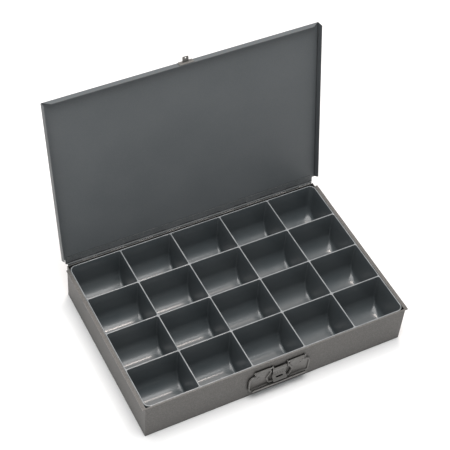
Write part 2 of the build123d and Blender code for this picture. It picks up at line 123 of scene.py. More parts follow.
def edgeMask(mat, radius, low, high):
    # where a rounded normal leaves the true one, the sheet has an edge
    bevel = addNode(mat, "ShaderNodeBevel", samples=4)
    bevel.inputs["Radius"].default_value = radius
    geometry = addNode(mat, "ShaderNodeNewGeometry")
    dot = addNode(mat, "ShaderNodeVectorMath", operation="DOT_PRODUCT")
    link(mat, bevel.outputs["Normal"], dot.inputs[0])
    link(mat, geometry.outputs["Normal"], dot.inputs[1])
    return spread(mat, dot.outputs["Value"], high, low, 0.0, 1.0)


def paintedGapShade(mat, reach, low, high, darkest):
    # painted shade: the colour is darkened where two sheets nearly touch, standing in for the shade in the
    # gaps
    nearby = addNode(mat, "ShaderNodeAmbientOcclusion", samples=6)
    nearby.inputs["Distance"].default_value = reach
    return spread(mat, nearby.outputs["AO"], low, high, darkest, 1.0)


def shadeColour(mat, colour, amount):
    node = addNode(mat, "ShaderNodeMix", data_type="RGBA", blend_type="MULTIPLY")
    node.inputs[0].default_value = 1.0
    link(mat, colour, node.inputs[6])
    link(mat, amount, node.inputs[7])
    return node.outputs[2]


def bump(mat, shader, heights, strength, distance):
    node = addNode(mat, "ShaderNodeBump")
    node.inputs["Strength"].default_value = strength
    node.inputs["Distance"].default_value = distance
    link(mat, heights, node.inputs["Height"])
    link(mat, node.outputs["Normal"], shader.inputs["Normal"])


# coats, one set of values each; reach is how far the painted shade spreads out of a corner
caseCoat = {
    "colour": (0.074, 0.071, 0.067), "dusty": (0.088, 0.084, 0.079), "wearAndHighlight": (0.24, 0.235, 0.225),
    "gloss": 0.27, "rough": 0.46, "reach": 5 * mm, "speckle": 0.22, "edge": 0.9 * mm,
    # the rear keys paint a highlight along the top of the rear wall
    "rearHighlightY": 146.4 * mm, "rearHighlightDeep": 0.3 * mm, "rearHighlightTop": (71.0 * mm, 71.4 * mm), "rearHighlight": 0.8,
}
lidCoat = {
    "colour": (0.082, 0.090, 0.095), "dusty": (0.096, 0.104, 0.109), "wearAndHighlight": (0.17, 0.173, 0.172),
    "gloss": 0.22, "rough": 0.44, "reach": 2.5 * mm, "speckle": 0.10, "edge": 0.8 * mm,
}
latchCoat = {
    "colour": (0.090, 0.087, 0.082), "dusty": (0.106, 0.102, 0.096), "wearAndHighlight": (0.34, 0.33, 0.315),
    "gloss": 0.50, "rough": 0.40, "reach": 4 * mm, "speckle": 0.13, "edge": 0.45 * mm,
}
# painted shade: the hinge's coat is kept darker than the case's, standing in for the shade on the hinge
hingeCoat = {
    "colour": (0.062, 0.067, 0.070), "dusty": (0.076, 0.081, 0.084), "wearAndHighlight": (0.30, 0.31, 0.31),
    "gloss": 0.24, "rough": 0.42, "reach": 2 * mm, "speckle": 0.15, "edge": 0.55 * mm,
}
# the powder itself, the same on every coated piece
powder = {
    "cloudScale": 9.0, "cloudRange": (0.35, 0.70), "speckScale": 620.0, "speckRange": (0.40, 0.66),
    "peelScale": 700.0, "peelStrength": 0.16, "peelDeep": 0.5 * mm, "edgeRange": (0.86, 0.985),
    "patchScale": 55.0, "patchRange": (0.40, 0.66), "patchWear": (0.25, 0.9),
    "roughRange": (0.3, 0.7), "smoother": 0.05, "rougher": 0.07,
    "shadeRange": (0.35, 0.88), "darkest": 0.05,
}


def powderCoat(name, finish):
    mat, shader = newMaterial(name)
    near = objectCoords(mat, (1.0, 1.0, 1.0))
    broad = noise(mat, near, powder["cloudScale"], detail=4.0)
    fine = noise(mat, near, powder["speckScale"], detail=2.0)
    peel = noise(mat, near, powder["peelScale"], detail=1.0)
    cloudy = spread(mat, broad, *powder["cloudRange"], 0.0, 1.0)
    base = blendColours(mat, cloudy, finish["colour"], finish["dusty"])
    specks = spread(mat, fine, *powder["speckRange"], 0.0, finish["speckle"])
    speckled = blendColours(mat, specks, base, finish["wearAndHighlight"])
    edges = edgeMask(mat, finish["edge"], *powder["edgeRange"])
    patches = noise(mat, near, powder["patchScale"], detail=4.0)
    patchy = spread(mat, patches, *powder["patchRange"], *powder["patchWear"])
    wearAndHighlight = calc(mat, "MULTIPLY", edges, patchy)
    if "rearHighlightY" in finish:
        # painted highlight: the top of the rear wall is painted bright along the hinge
        split = addNode(mat, "ShaderNodeSeparateXYZ")
        link(mat, near, split.inputs[0])
        top = spread(mat, split.outputs["Z"], *finish["rearHighlightTop"], 0.0, finish["rearHighlight"])
        rearFrom = finish["rearHighlightY"] - finish["rearHighlightDeep"]
        back = spread(mat, split.outputs["Y"], rearFrom, finish["rearHighlightY"], 0.0, 1.0)
        wearAndHighlight = calc(mat, "MAXIMUM", wearAndHighlight, calc(mat, "MULTIPLY", top, back))
    # edge wear and the painted rear highlight both take the pale colour
    coat = blendColours(mat, wearAndHighlight, speckled, finish["wearAndHighlight"])
    # painted shade gathered in the gaps between sheets
    shade = paintedGapShade(mat, finish["reach"], *powder["shadeRange"], powder["darkest"])
    link(mat, shadeColour(mat, coat, shade), shader.inputs["Base Color"])
    low, high = finish["rough"] - powder["smoother"], finish["rough"] + powder["rougher"]
    link(mat, spread(mat, broad, *powder["roughRange"], low, high), shader.inputs["Roughness"])
    shader.inputs["Specular IOR Level"].default_value = finish["gloss"]
    bump(mat, shader, peel, powder["peelStrength"], powder["peelDeep"])
    return mat


# tray plastic: painted highlight, pale in patches along the rim tops and edges, with a thin glaze over all
trayPlastic = {
    "colour": (0.062, 0.073, 0.079), "cloudy": (0.076, 0.086, 0.091), "patchyHighlight": (0.52, 0.53, 0.54),
    "rough": 0.36, "smoother": 0.04, "rougher": 0.08, "roughRange": (0.3, 0.7),
    "gloss": 0.36, "glaze": 0.34, "glazeRough": 0.16,
    "edge": 0.7 * mm, "edgeRange": (0.80, 0.97), "rimHighlightRange": (71.0 * mm, 71.35 * mm), "rimHighlight": 0.36,
    "cloudScale": 14.0, "cloudRange": (0.35, 0.7), "highlightPatchScale": 70.0, "highlightPatchRange": (0.35, 0.65),
    "highlightPatchSpan": (0.5, 0.95), "grainScale": 1400.0, "grainStrength": 0.06, "grainDeep": 0.3 * mm,
}


def mouldedPlastic(name, finish):
    mat, shader = newMaterial(name)
    near = objectCoords(mat, (1.0, 1.0, 1.0))
    broad = noise(mat, near, finish["cloudScale"], detail=4.0)
    grain = noise(mat, near, finish["grainScale"], detail=1.0)
    clouds = spread(mat, broad, *finish["cloudRange"], 0.0, 1.0)
    base = blendColours(mat, clouds, finish["colour"], finish["cloudy"])
    # painted highlight: edges and rim tops are painted pale, broken into patches
    edges = edgeMask(mat, finish["edge"], *finish["edgeRange"])
    split = addNode(mat, "ShaderNodeSeparateXYZ")
    link(mat, near, split.inputs[0])
    rim = spread(mat, split.outputs["Z"], *finish["rimHighlightRange"], 0.0, finish["rimHighlight"])
    edgeAndRimHighlight = calc(mat, "MAXIMUM", edges, rim)
    highlightPatches = noise(mat, near, finish["highlightPatchScale"], detail=3.0)
    patchy = spread(mat, highlightPatches, *finish["highlightPatchRange"], *finish["highlightPatchSpan"])
    patchyHighlight = calc(mat, "MULTIPLY", edgeAndRimHighlight, patchy)
    link(mat, blendColours(mat, patchyHighlight, base, finish["patchyHighlight"]), shader.inputs["Base Color"])
    low, high = finish["rough"] - finish["smoother"], finish["rough"] + finish["rougher"]
    link(mat, spread(mat, broad, *finish["roughRange"], low, high), shader.inputs["Roughness"])
    shader.inputs["Specular IOR Level"].default_value = finish["gloss"]
    shader.inputs["Coat Weight"].default_value = finish["glaze"]
    shader.inputs["Coat Roughness"].default_value = finish["glazeRough"]
    bump(mat, shader, grain, finish["grainStrength"], finish["grainDeep"])
    return mat


# pin steel: drawn wire, streaked along its length
pinSteel = {
    "colour": (0.40, 0.40, 0.39), "dull": (0.28, 0.275, 0.265), "rough": 0.36, "roughEitherWay": 0.08,
    "drawn": (1.0, 40.0, 40.0), "streakScale": 60.0, "streakRange": (0.35, 0.65), "roughRange": (0.3, 0.7),
    "streakStrength": 0.08, "streakDeep": 0.2 * mm,
}


def drawnSteel(name, finish):
    mat, shader = newMaterial(name)
    along = objectCoords(mat, finish["drawn"])
    streaks = noise(mat, along, finish["streakScale"], detail=3.0)
    dulled = spread(mat, streaks, *finish["streakRange"], 0.0, 1.0)
    link(mat, blendColours(mat, dulled, finish["colour"], finish["dull"]), shader.inputs["Base Color"])
    shader.inputs["Metallic"].default_value = 1.0
    low, high = finish["rough"] - finish["roughEitherWay"], finish["rough"] + finish["roughEitherWay"]
    link(mat, spread(mat, streaks, *finish["roughRange"], low, high), shader.inputs["Roughness"])
    bump(mat, shader, streaks, finish["streakStrength"], finish["streakDeep"])
    return mat


finishes = {
    "case_coat": powderCoat("casePowderCoat", caseCoat),
    "lid_coat": powderCoat("lidPowderCoat", lidCoat),
    "latch_coat": powderCoat("latchPowderCoat", latchCoat),
    "tray_plastic": mouldedPlastic("trayPlastic", trayPlastic),
    "pin_steel": drawnSteel("hingePinSteel", pinSteel),
}
hingeFinish = powderCoat("hingePowderCoat", hingeCoat)
print("finishes made")


def paintCadNodes():
    for part in frame["record"]["subparts"]:
        node = frame["nodes"][part["node"]]
        node.data.materials.clear()
        hinge = part["node"].startswith("hinge_leaf")
        node.data.materials.append(hingeFinish if hinge else finishes[part["material_slot"]])


paintCadNodes()
print("cad nodes painted")

# moulded tray: every cell is pressed into the floor and bridged to the rims
tray = {
    "columns": 5, "rows": 4, "columnPitch": 88.6 * mm, "rowPitch": 72.3 * mm, "rowShift": 0.9 * mm,
    "wall": 1.8 * mm, "divider": 2.0 * mm, "floor": 1.8 * mm, "rimRound": 0.55 * mm,
    "frontScoop": 24.0 * mm, "rearScoop": 24.0 * mm, "sideScoop": 4.5 * mm, "outerScoop": 11.5 * mm,
    "cellCorner": 2.6 * mm, "trayCorner": 10.0 * mm, "draft": 0.45 * mm, "crown": 0.105 * mm,
    # towards the floor a cell's corners open by these shares of the scoops beside them
    "openX": (0.75, 0.10), "openY": (0.40, 0.25), "openLimit": 0.44, "upperRing": 0.7,
    "foot": ((0.0, 3.0 * mm), (1.0 * mm, 0.8 * mm), (3.0 * mm, 0.0)),
    "cornerSteps": 8, "sideSteps": 5, "depthSteps": 15, "roundSteps": 4, "sharp": 35,
}


def roundedLoop(x0, x1, y0, y1, radii, z):
    # radii: one (rx, ry) pair a corner, from the front left, anticlockwise
    places = ((x0, y0, 1, 1, 180), (x1, y0, -1, 1, 270), (x1, y1, -1, -1, 0), (x0, y1, 1, -1, 90))
    arcs = []
    for (x, y, sideX, sideY, start), (rx, ry) in zip(places, radii):
        middle = Vector((x + sideX * rx, y + sideY * ry, z))
        arc = []
        for step in range(tray["cornerSteps"] + 1):
            turn = math.radians(start + 90 * step / tray["cornerSteps"])
            arc.append(middle + Vector((rx * math.cos(turn), ry * math.sin(turn), 0)))
        arcs.append(arc)
    loop = []
    for index, arc in enumerate(arcs):
        loop.extend(arc)
        following = arcs[(index + 1) % 4][0]
        for step in range(1, tray["sideSteps"]):
            loop.append(arc[-1].lerp(following, step / tray["sideSteps"]))
    return loop


def scoopInset(radius, rise):
    # how far a wall rounded into the floor stands in at a given rise
    if rise >= radius:
        return 0.0
    return radius - math.sqrt(radius * radius - (radius - rise) ** 2)


def addLoop(bm, points):
    return [bm.verts.new(p) for p in points]


def bridge(bm, lower, upper):
    count = len(lower)
    for i in range(count):
        bm.faces.new((lower[i], lower[(i + 1) % count], upper[(i + 1) % count], upper[i]))


def edgesOf(bm, ring):
    found = []
    for i, vert in enumerate(ring):
        found.append(bm.edges.get((vert, ring[(i + 1) % len(ring)])))
    return found


def cellPlan(column, row, low, high):
    gap = tray["divider"] / 2
    x0 = (column - tray["columns"] / 2) * tray["columnPitch"] + gap
    x1 = x0 + tray["columnPitch"] - 2 * gap
    y0 = tray["rowShift"] + (row - tray["rows"] / 2) * tray["rowPitch"] + gap
    y1 = y0 + tray["rowPitch"] - 2 * gap
    if column == 0:
        x0 = low.x + tray["wall"]
    if column == tray["columns"] - 1:
        x1 = high.x - tray["wall"]
    if row == 0:
        y0 = low.y + tray["wall"]
    if row == tray["rows"] - 1:
        y1 = high.y - tray["wall"]
    return x0, x1, y0, y1


def pressCell(bm, column, row, low, high):
    x0, x1, y0, y1 = cellPlan(column, row, low, high)
    floorZ, topZ = low.z + tray["floor"], high.z
    left = tray["outerScoop"] if column == 0 else tray["sideScoop"]
    right = tray["outerScoop"] if column == tray["columns"] - 1 else tray["sideScoop"]
    lastRow, lastColumn = tray["rows"] - 1, tray["columns"] - 1
    upright = []
    for c, r in ((0, 0), (lastColumn, 0), (lastColumn, lastRow), (0, lastRow)):
        outer = column == c and row == r
        upright.append(tray["trayCorner"] - tray["wall"] if outer else tray["cellCorner"])
    rises = []
    for step in range(tray["depthSteps"] + 1):
        rises.append(tray["frontScoop"] * (1 - math.cos(math.pi / 2 * step / tray["depthSteps"])))
    rises.append((topZ - floorZ) * tray["upperRing"])
    rises.append(topZ - floorZ - tray["rimRound"])
    rings = []
    for rise in rises:
        lean = tray["draft"] * (1 - rise / (topZ - floorZ))
        front = scoopInset(tray["frontScoop"], rise) + lean
        rear = scoopInset(tray["rearScoop"], rise) + lean
        west = scoopInset(left, rise) + lean
        east = scoopInset(right, rise) + lean
        sides = (x0 + west, x1 - east, y0 + front, y1 - rear)
        mostX = tray["openLimit"] * (x1 - x0 - west - east)
        mostY = tray["openLimit"] * (y1 - y0 - front - rear)
        radii = []
        for radius, (inX, inY) in zip(upright, ((west, front), (east, front), (east, rear), (west, rear))):
            roundX = radius + tray["openX"][0] * inX + tray["openX"][1] * inY
            roundY = radius + tray["openY"][0] * inY + tray["openY"][1] * inX
            radii.append((min(roundX, mostX), min(roundY, mostY)))
        rings.append(addLoop(bm, roundedLoop(*sides, radii, floorZ + rise)))
    for step in range(1, tray["roundSteps"] + 1):
        turn = math.pi / 2 * step / tray["roundSteps"]
        out = tray["rimRound"] * (1 - math.cos(turn))
        up = topZ - tray["rimRound"] * (1 - math.sin(turn))
        radii = [(radius + out, radius + out) for radius in upright]
        rings.append(addLoop(bm, roundedLoop(x0 - out, x1 + out, y0 - out, y1 + out, radii, up)))
    for lower, upper in zip(rings, rings[1:]):
        bridge(bm, lower, upper)
    floorMiddle = bm.verts.new(((x0 + x1) / 2, (y0 + y1) / 2, floorZ + tray["crown"]))
    for a, b in zip(rings[0], rings[0][1:] + rings[0][:1]):
        bm.faces.new((b, a, floorMiddle))
    return rings[-1]


def trayOutline(bm, low, high, inset, up):
    radius = tray["trayCorner"] - inset
    sides = (low.x + inset, high.x - inset, low.y + inset, high.y - inset)
    return addLoop(bm, roundedLoop(*sides, [(radius, radius)] * 4, up))


def buildTray():
    low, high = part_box("compartment_insert")
    bm = bmesh.new()
    rimEdges = []
    for column in range(tray["columns"]):
        for row in range(tray["rows"]):
            rimEdges.extend(edgesOf(bm, pressCell(bm, column, row, low, high)))
    outer = []
    for step in range(tray["roundSteps"] + 1):
        turn = math.pi / 2 * step / tray["roundSteps"]
        inset = tray["rimRound"] * (1 - math.sin(turn))
        up = high.z - tray["rimRound"] * (1 - math.cos(turn))
        outer.append(trayOutline(bm, low, high, inset, up))
    for inset, up in tray["foot"]:
        outer.append(trayOutline(bm, low, high, inset, low.z + up))
    for upper, lower in zip(outer, outer[1:]):
        bridge(bm, lower, upper)
    bm.faces.new(list(reversed(outer[-1])))
    rimEdges.extend(edgesOf(bm, outer[0]))
    bmesh.ops.triangle_fill(bm, use_beauty=True, use_dissolve=False, edges=rimEdges, normal=(0, 0, 1))
    bmesh.ops.recalc_face_normals(bm, faces=bm.faces)
    return finishPiece(bm, "scoopTray", "case", "tray_plastic", tray["sharp"], "compartment_insert")


def finishPiece(bm, name, body, slotName, sharpAngle, stoodFor):
    mesh = bpy.data.meshes.new(name + "Mesh")
    bm.to_mesh(mesh)
    bm.free()
    mesh.shade_smooth()
    mesh.set_sharp_from_angle(angle=math.radians(sharpAngle))
    mesh.materials.append(finishes[slotName])
    piece = bpy.data.objects.new(name, mesh)
    scene.collection.objects.link(piece)
    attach(piece, body)
    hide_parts(stoodFor)
    return piece


buildTray()
print("tray pressed")

# drop handle: stamped from sheet, a raised rim round a sunk pan
handle = {
    "half": 53.0 * mm, "low": 17.55 * mm, "shoulder": 49.5 * mm, "wingTop": 57.6 * mm,
    "wingIn": 17.0 * mm, "wingOut": 41.6 * mm, "notchTop": 13.9 * mm, "notchWide": 21.0 * mm,
    "notchMid": 37.5 * mm, "notchLow": 24.0 * mm, "notchFoot": 16.5 * mm, "neck": 50.0 * mm,
    "lowTaper": 1.0 * mm, "shoulderRise": 1.0 * mm, "lowRound": 4.5 * mm, "shoulderRound": 8.5 * mm,
    "cornerRound": 1.0 * mm, "wingRound": 2.0 * mm, "neckRound": 1.5 * mm, "flareRound": 1.2 * mm,
    "leastRound": 0.15 * mm, "arcSteps": 6,
    "back": 1.1 * mm, "face": 4.15 * mm, "pan": 2.0 * mm, "rim": 1.9 * mm, "gauge": 0.8 * mm,
    # (inset, below the face) round the outer edge, then (past the rim, above the pan) into the pan
    "edgeRound": ((0.0, 0.7 * mm), (0.2 * mm, 0.2 * mm), (0.7 * mm, 0.0)),
    "panRound": ((0.7 * mm, 0.2 * mm), (1.1 * mm, 0.0)), "rimFall": (0.45 * mm, 0.25 * mm),
    "innerFall": 0.5 * mm,
    "bossHalf": 36.0 * mm, "bossUp": 43.0 * mm, "boss": 2.1 * mm, "bossRise": 0.6 * mm,
    "bossRings": ((1.0, -0.2), (1.0, 0.0), (0.9, 0.6), (0.65, 0.95), (0.3, 1.0)),
    "barrel": 1.82 * mm, "bore": 1.1 * mm, "axisOut": 2.3 * mm, "axisUp": 57.5 * mm, "barrelSteps": 20,
    "sharp": 40, "weld": 0.01 * mm,
}
# its finger edge: an arc under the face that ends going up, tapered at both ends
fingerEdge = {
    "half": 47.0 * mm, "across": 2.35 * mm, "deep": 2.9 * mm, "underFace": 0.5 * mm, "above": 2.0 * mm,
    "from": 190, "turn": 165, "steps": 10, "tip": 4.0 * mm, "tipIn": 0.1 * mm, "root": 1.0 * mm,
    "stations": (-1.0, -0.985, -0.95, -0.5, 0.0, 0.5, 0.95, 0.985, 1.0),
    "tapers": (0.45, 0.8, 1.0, 1.0, 1.0, 1.0, 1.0, 0.8, 0.45),
}
frontWall = -147.5 * mm  # the case's front, where the handle and the hasp hang
tubeChamfer = 0.15 * mm


def roundedOutline(corners, inset):
    # corners: (x, z, radius) anticlockwise; sides move in, each corner keeps its count of points
    count = len(corners)
    points = [Vector((x, z)) for x, z, radius in corners]
    moved = []
    for i in range(count):
        before, here, after = points[i - 1], points[i], points[(i + 1) % count]
        arriving, leaving = (here - before).normalized(), (after - here).normalized()
        inA, inB = Vector((-arriving.y, arriving.x)), Vector((-leaving.y, leaving.x))
        cross = arriving.x * leaving.y - arriving.y * leaving.x
        shift = (inA + inB) * (inset / (1 + inA.dot(inB)))
        radius = corners[i][2] - inset if cross > 0 else corners[i][2] + inset
        moved.append((here + shift, arriving, leaving, cross, max(radius, handle["leastRound"])))
    loop = []
    for corner, arriving, leaving, cross, radius in moved:
        turn = math.acos(max(-1.0, min(1.0, arriving.dot(leaving))))
        side = 1 if cross > 0 else -1
        start = corner - arriving * radius * math.tan(turn / 2)
        middle = start + Vector((-arriving.y, arriving.x)) * radius * side
        for step in range(handle["arcSteps"] + 1):
            angle = side * turn * step / handle["arcSteps"]
            arm = start - middle
            loop.append(middle + Vector((
                arm.x * math.cos(angle) - arm.y * math.sin(angle),
                arm.x * math.sin(angle) + arm.y * math.cos(angle),
            )))
    return loop


def handleCorners():
    h = handle
    right = [
        (h["half"] - h["lowTaper"], h["low"], h["lowRound"]),
        (h["half"], h["shoulder"], h["shoulderRound"]),
        (h["wingOut"], h["shoulder"] + h["shoulderRise"], h["cornerRound"]),
        (h["wingOut"], h["wingTop"], h["wingRound"]),
        (h["wingIn"], h["wingTop"], h["wingRound"]),
        (h["notchTop"], h["neck"], h["neckRound"]),
        (h["notchWide"], h["notchMid"], h["flareRound"]),
        (h["notchFoot"], h["notchLow"], h["neckRound"]),
    ]
    return right + [(-x, z, radius) for x, z, radius in reversed(right)]


def wallPoint(x, out, z):
    return Vector((x, frontWall - out, z))


def tube(bm, x0, x1, out, up, outer, inner, steps):
    # an open-ended pipe along X
    cut = tubeChamfer
    rings = []
    for x, radius in ((x0, inner), (x0, outer - cut), (x0 + cut, outer),
                      (x1 - cut, outer), (x1, outer - cut), (x1, inner)):
        ring = []
        for i in range(steps):
            turn = 2 * math.pi * i / steps
            ring.append(wallPoint(x, out + radius * math.cos(turn), up + radius * math.sin(turn)))
        rings.append(addLoop(bm, ring))
    for a, b in zip(rings, rings[1:] + rings[:1]):
        bridge(bm, a, b)


def gridSheet(bm, front, back, skipped):
    # two skins of points and the walls between them, with holes where cells are skipped
    rows, columns = len(front), len(front[0])
    kept = {(i, j) for i in range(rows - 1) for j in range(columns - 1)} - skipped
    for i, j in kept:
        bm.faces.new((front[i][j], front[i + 1][j], front[i + 1][j + 1], front[i][j + 1]))
        bm.faces.new((back[i][j], back[i][j + 1], back[i + 1][j + 1], back[i + 1][j]))
        sides = (((i, j), (i, j + 1), (i - 1, j)), ((i + 1, j + 1), (i + 1, j), (i + 1, j)),
                 ((i + 1, j), (i, j), (i, j - 1)), ((i, j + 1), (i + 1, j + 1), (i, j + 1)))
        for (a, b), (c, d), beyond in sides:
            if beyond not in kept:
                bm.faces.new((front[a][b], front[c][d], back[c][d], back[a][b]))


def curlProfile():
    # (out, up, normal) at each step of the finger edge
    f = fingerEdge
    centreOut = handle["face"] + f["across"] - f["underFace"]
    centreUp = handle["low"] + f["above"]
    steps = []
    for i in range(f["steps"] + 1):
        turn = math.radians(f["from"] + f["turn"] * i / f["steps"])
        normal = (math.cos(turn), math.sin(turn))
        steps.append((centreOut + f["across"] * normal[0], centreUp + f["deep"] * normal[1], normal))
    steps.append((steps[-1][0] - f["tipIn"], handle["low"] + f["tip"], (1.0, 0.0)))
    return steps


def stampSkin(bm, section):
    # nested outlines from the edge of the sheet to its flat middle
    rings = []
    for inset, out in section:
        outline = roundedOutline(handleCorners(), inset)
        rings.append(addLoop(bm, [wallPoint(p.x, out, p.y) for p in outline]))
    for a, b in zip(rings, rings[1:]):
        bridge(bm, a, b)
    bmesh.ops.triangle_fill(bm, use_beauty=True, use_dissolve=False, edges=edgesOf(bm, rings[-1]))


def stampPlate(bm):
    h = handle
    fallIn, fallDown = h["rimFall"]
    outside = [(h["gauge"], h["back"]), (0.0, h["back"])]
    outside += [(inset, h["face"] - below) for inset, below in h["edgeRound"]]
    outside += [(h["rim"], h["face"]), (h["rim"] + fallIn, h["face"] - fallDown)]
    outside += [(h["rim"] + past, h["pan"] + above) for past, above in h["panRound"]]
    stampSkin(bm, outside)
    stampSkin(bm, [
        (h["gauge"], h["back"]), (h["gauge"], h["face"] - h["gauge"]), (h["rim"], h["face"] - h["gauge"]),
        (h["rim"] + h["innerFall"], h["pan"] - h["gauge"]),
    ])


def pressBoss(bm, side):
    h = handle
    rings = []
    for share, rise in h["bossRings"]:
        reach = h["boss"] * share
        ring = []
        for i in range(h["barrelSteps"]):
            turn = 2 * math.pi * i / h["barrelSteps"]
            x, z = side * h["bossHalf"] + reach * math.cos(turn), h["bossUp"] + reach * math.sin(turn)
            ring.append(wallPoint(x, h["pan"] + h["bossRise"] * rise, z))
        rings.append(addLoop(bm, ring))
    for a, b in zip(rings, rings[1:]):
        bridge(bm, a, b)
    bm.faces.new(rings[-1])


def curlEdge(bm):
    root = handle["low"] + fingerEdge["root"]
    front, back = [], []
    for place, taper in zip(fingerEdge["stations"], fingerEdge["tapers"]):
        x = place * fingerEdge["half"]
        frontRow, backRow = [], []
        for out, up, normal in curlProfile():
            up = root + (up - root) * taper
            under = (out - normal[0] * handle["gauge"], up - normal[1] * handle["gauge"])
            frontRow.append(bm.verts.new(wallPoint(x, out, up)))
            backRow.append(bm.verts.new(wallPoint(x, *under)))
        front.append(frontRow)
        back.append(backRow)
    gridSheet(bm, front, back, set())


def stampHandle():
    h = handle
    bm = bmesh.new()
    stampPlate(bm)
    for side in (-1, 1):
        ends = sorted((side * h["wingIn"], side * h["wingOut"]))
        tube(bm, *ends, h["axisOut"], h["axisUp"], h["barrel"], h["bore"], h["barrelSteps"])
    for side in (-1, 1):
        pressBoss(bm, side)
    curlEdge(bm)
    bmesh.ops.remove_doubles(bm, verts=bm.verts, dist=h["weld"])
    bmesh.ops.recalc_face_normals(bm, faces=bm.faces)
    return finishPiece(bm, "dropHandle", "handle", "latch_coat", h["sharp"], "carry_handle")


# hasp: ribbed plate hung from its own pin, its foot swept out for a fingertip
hasp = {
    "half": 11.6 * mm, "axisOut": 3.2 * mm, "axisUp": 52.5 * mm, "hang": 8.0, "barrel": 1.88 * mm,
    "bore": 1.1 * mm, "gauge": 0.9 * mm, "length": 25.3 * mm,
    "sweepFrom": 15.0 * mm, "sweepOut": 7.0 * mm, "sweepPower": 2.2,
    "slotHalf": 6.0 * mm, "slotNear": 19.4 * mm, "slotFar": 21.9 * mm,
    "across": 70, "along": 40, "barrelSteps": 24, "sharp": 40,
}
# ribs run down the plate and fade out towards their ends and the plate's sides
rib = {
    "count": 7, "rise": 0.85 * mm, "near": 3.0 * mm, "far": 18.0 * mm, "fade": 1.5 * mm,
    "sideFade": 0.08, "power": 0.8, "pressedThrough": 0.8, "edgeDrop": 0.25 * mm,
}


def haspPlace(x, down, out):
    # from the plate's own axes, hanging a little inward, to the case
    turn = math.radians(hasp["hang"])
    outward = out * math.cos(turn) - down * math.sin(turn)
    fall = out * math.sin(turn) + down * math.cos(turn)
    return wallPoint(x, hasp["axisOut"] + outward, hasp["axisUp"] - fall)


def haspFace(down):
    # how far the outer skin stands from the pin's centre line
    swept = max(0.0, (down - hasp["sweepFrom"]) / (hasp["length"] - hasp["sweepFrom"]))
    return hasp["barrel"] + hasp["sweepOut"] * swept ** hasp["sweepPower"]


def clamp(value):
    return max(0.0, min(1.0, value))


def ribRise(place, down):
    fade = clamp(min((down - rib["near"]) / rib["fade"], (rib["far"] - down) / rib["fade"]))
    wave = (0.5 + 0.5 * math.cos(math.pi * rib["count"] * place)) ** rib["power"]
    return rib["rise"] * wave * fade * clamp((1 - abs(place)) / rib["sideFade"])


def haspSlope(down):
    step = 0.1 * mm
    return (haspFace(down + step) - haspFace(down)) / step


def inSlot(i, j):
    midDown = hasp["length"] * (j + 0.5) / hasp["along"]
    midX = hasp["half"] * (-1 + 2 * (i + 0.5) / hasp["across"])
    return abs(midX) < hasp["slotHalf"] and hasp["slotNear"] < midDown < hasp["slotFar"]


def pressHasp():
    bm = bmesh.new()
    front, back, skipped = [], [], set()
    for i in range(hasp["across"] + 1):
        place = -1 + 2 * i / hasp["across"]
        x = place * hasp["half"]
        edge = rib["edgeDrop"] if i in (0, hasp["across"]) else 0.0
        frontRow, backRow = [], []
        for j in range(hasp["along"] + 1):
            down = hasp["length"] * j / hasp["along"]
            rise, face, slope = ribRise(place, down), haspFace(down), haspSlope(down)
            length = math.sqrt(1 + slope * slope)
            under = (hasp["gauge"] - rise * rib["pressedThrough"]) / length
            top = haspPlace(x, down - slope * rise / length, face + (rise - edge) / length)
            frontRow.append(bm.verts.new(top))
            backRow.append(bm.verts.new(haspPlace(x, down + slope * under, face - under)))
            if inSlot(i, j):
                skipped.add((i, j))
        front.append(frontRow)
        back.append(backRow)
    gridSheet(bm, front, back, skipped)
    tube(
        bm, -hasp["half"], hasp["half"], hasp["axisOut"], hasp["axisUp"],
        hasp["barrel"], hasp["bore"], hasp["barrelSteps"],
    )
    bmesh.ops.recalc_face_normals(bm, faces=bm.faces)
    return finishPiece(bm, "ribbedHasp", "hasp", "latch_coat", hasp["sharp"], "hasp_latch")


stampHandle()
pressHasp()
print("handle and hasp stamped")

# continuous hinge: each knuckle is its leaf's own sheet rolled round the pin
hinge = {
    "half": 220.5 * mm, "knuckles": 18, "gap": 0.35 * mm, "leaf": 0.8 * mm, "leafDown": 12.0 * mm,
    "leafAlong": 12.5 * mm, "axisY": 149.25 * mm, "axisZ": 73.1 * mm, "outer": 1.74 * mm, "inner": 0.97 * mm,
    "rolled": 318.0, "tighter": 0.12 * mm, "rollSteps": 22, "open": 101.0, "stackUp": 2.1 * mm,
    "wallY": 147.5 * mm, "wallGap": 0.02 * mm, "lidGap": 0.3 * mm, "endRound": 0.12 * mm, "endNick": 0.15,
    "sharp": 35,
}


def rolledProfile(start, turnBy):
    # the roll's two skins, from the tangent where the leaf arrives
    outer, inner = [], []
    for i in range(hinge["rollSteps"] + 1):
        turn = math.radians(start + turnBy * i / hinge["rollSteps"])
        across, up = math.cos(turn), math.sin(turn)
        radius = hinge["outer"] - hinge["tighter"] * i / hinge["rollSteps"]
        outer.append((hinge["axisY"] + radius * across, hinge["axisZ"] + radius * up))
        inner.append((hinge["axisY"] + hinge["inner"] * across, hinge["axisZ"] + hinge["inner"] * up))
    return outer, inner


def extrudeStrip(bm, outer, inner, x0, x1):
    # a bent strip of sheet between two stations along X, its outer edge nicked at both ends
    ends = hinge["endRound"]
    front, back = [], []
    for x, nick in ((x0, hinge["endNick"]), (x0 + ends, 0.0), (x1 - ends, 0.0), (x1, hinge["endNick"])):
        row = []
        for (outY, outZ), (inY, inZ) in zip(outer, inner):
            row.append(bm.verts.new((x, outY + (inY - outY) * nick, outZ + (inZ - outZ) * nick)))
        front.append(row)
        back.append([bm.verts.new((x, inY, inZ)) for inY, inZ in inner])
    gridSheet(bm, front, back, set())


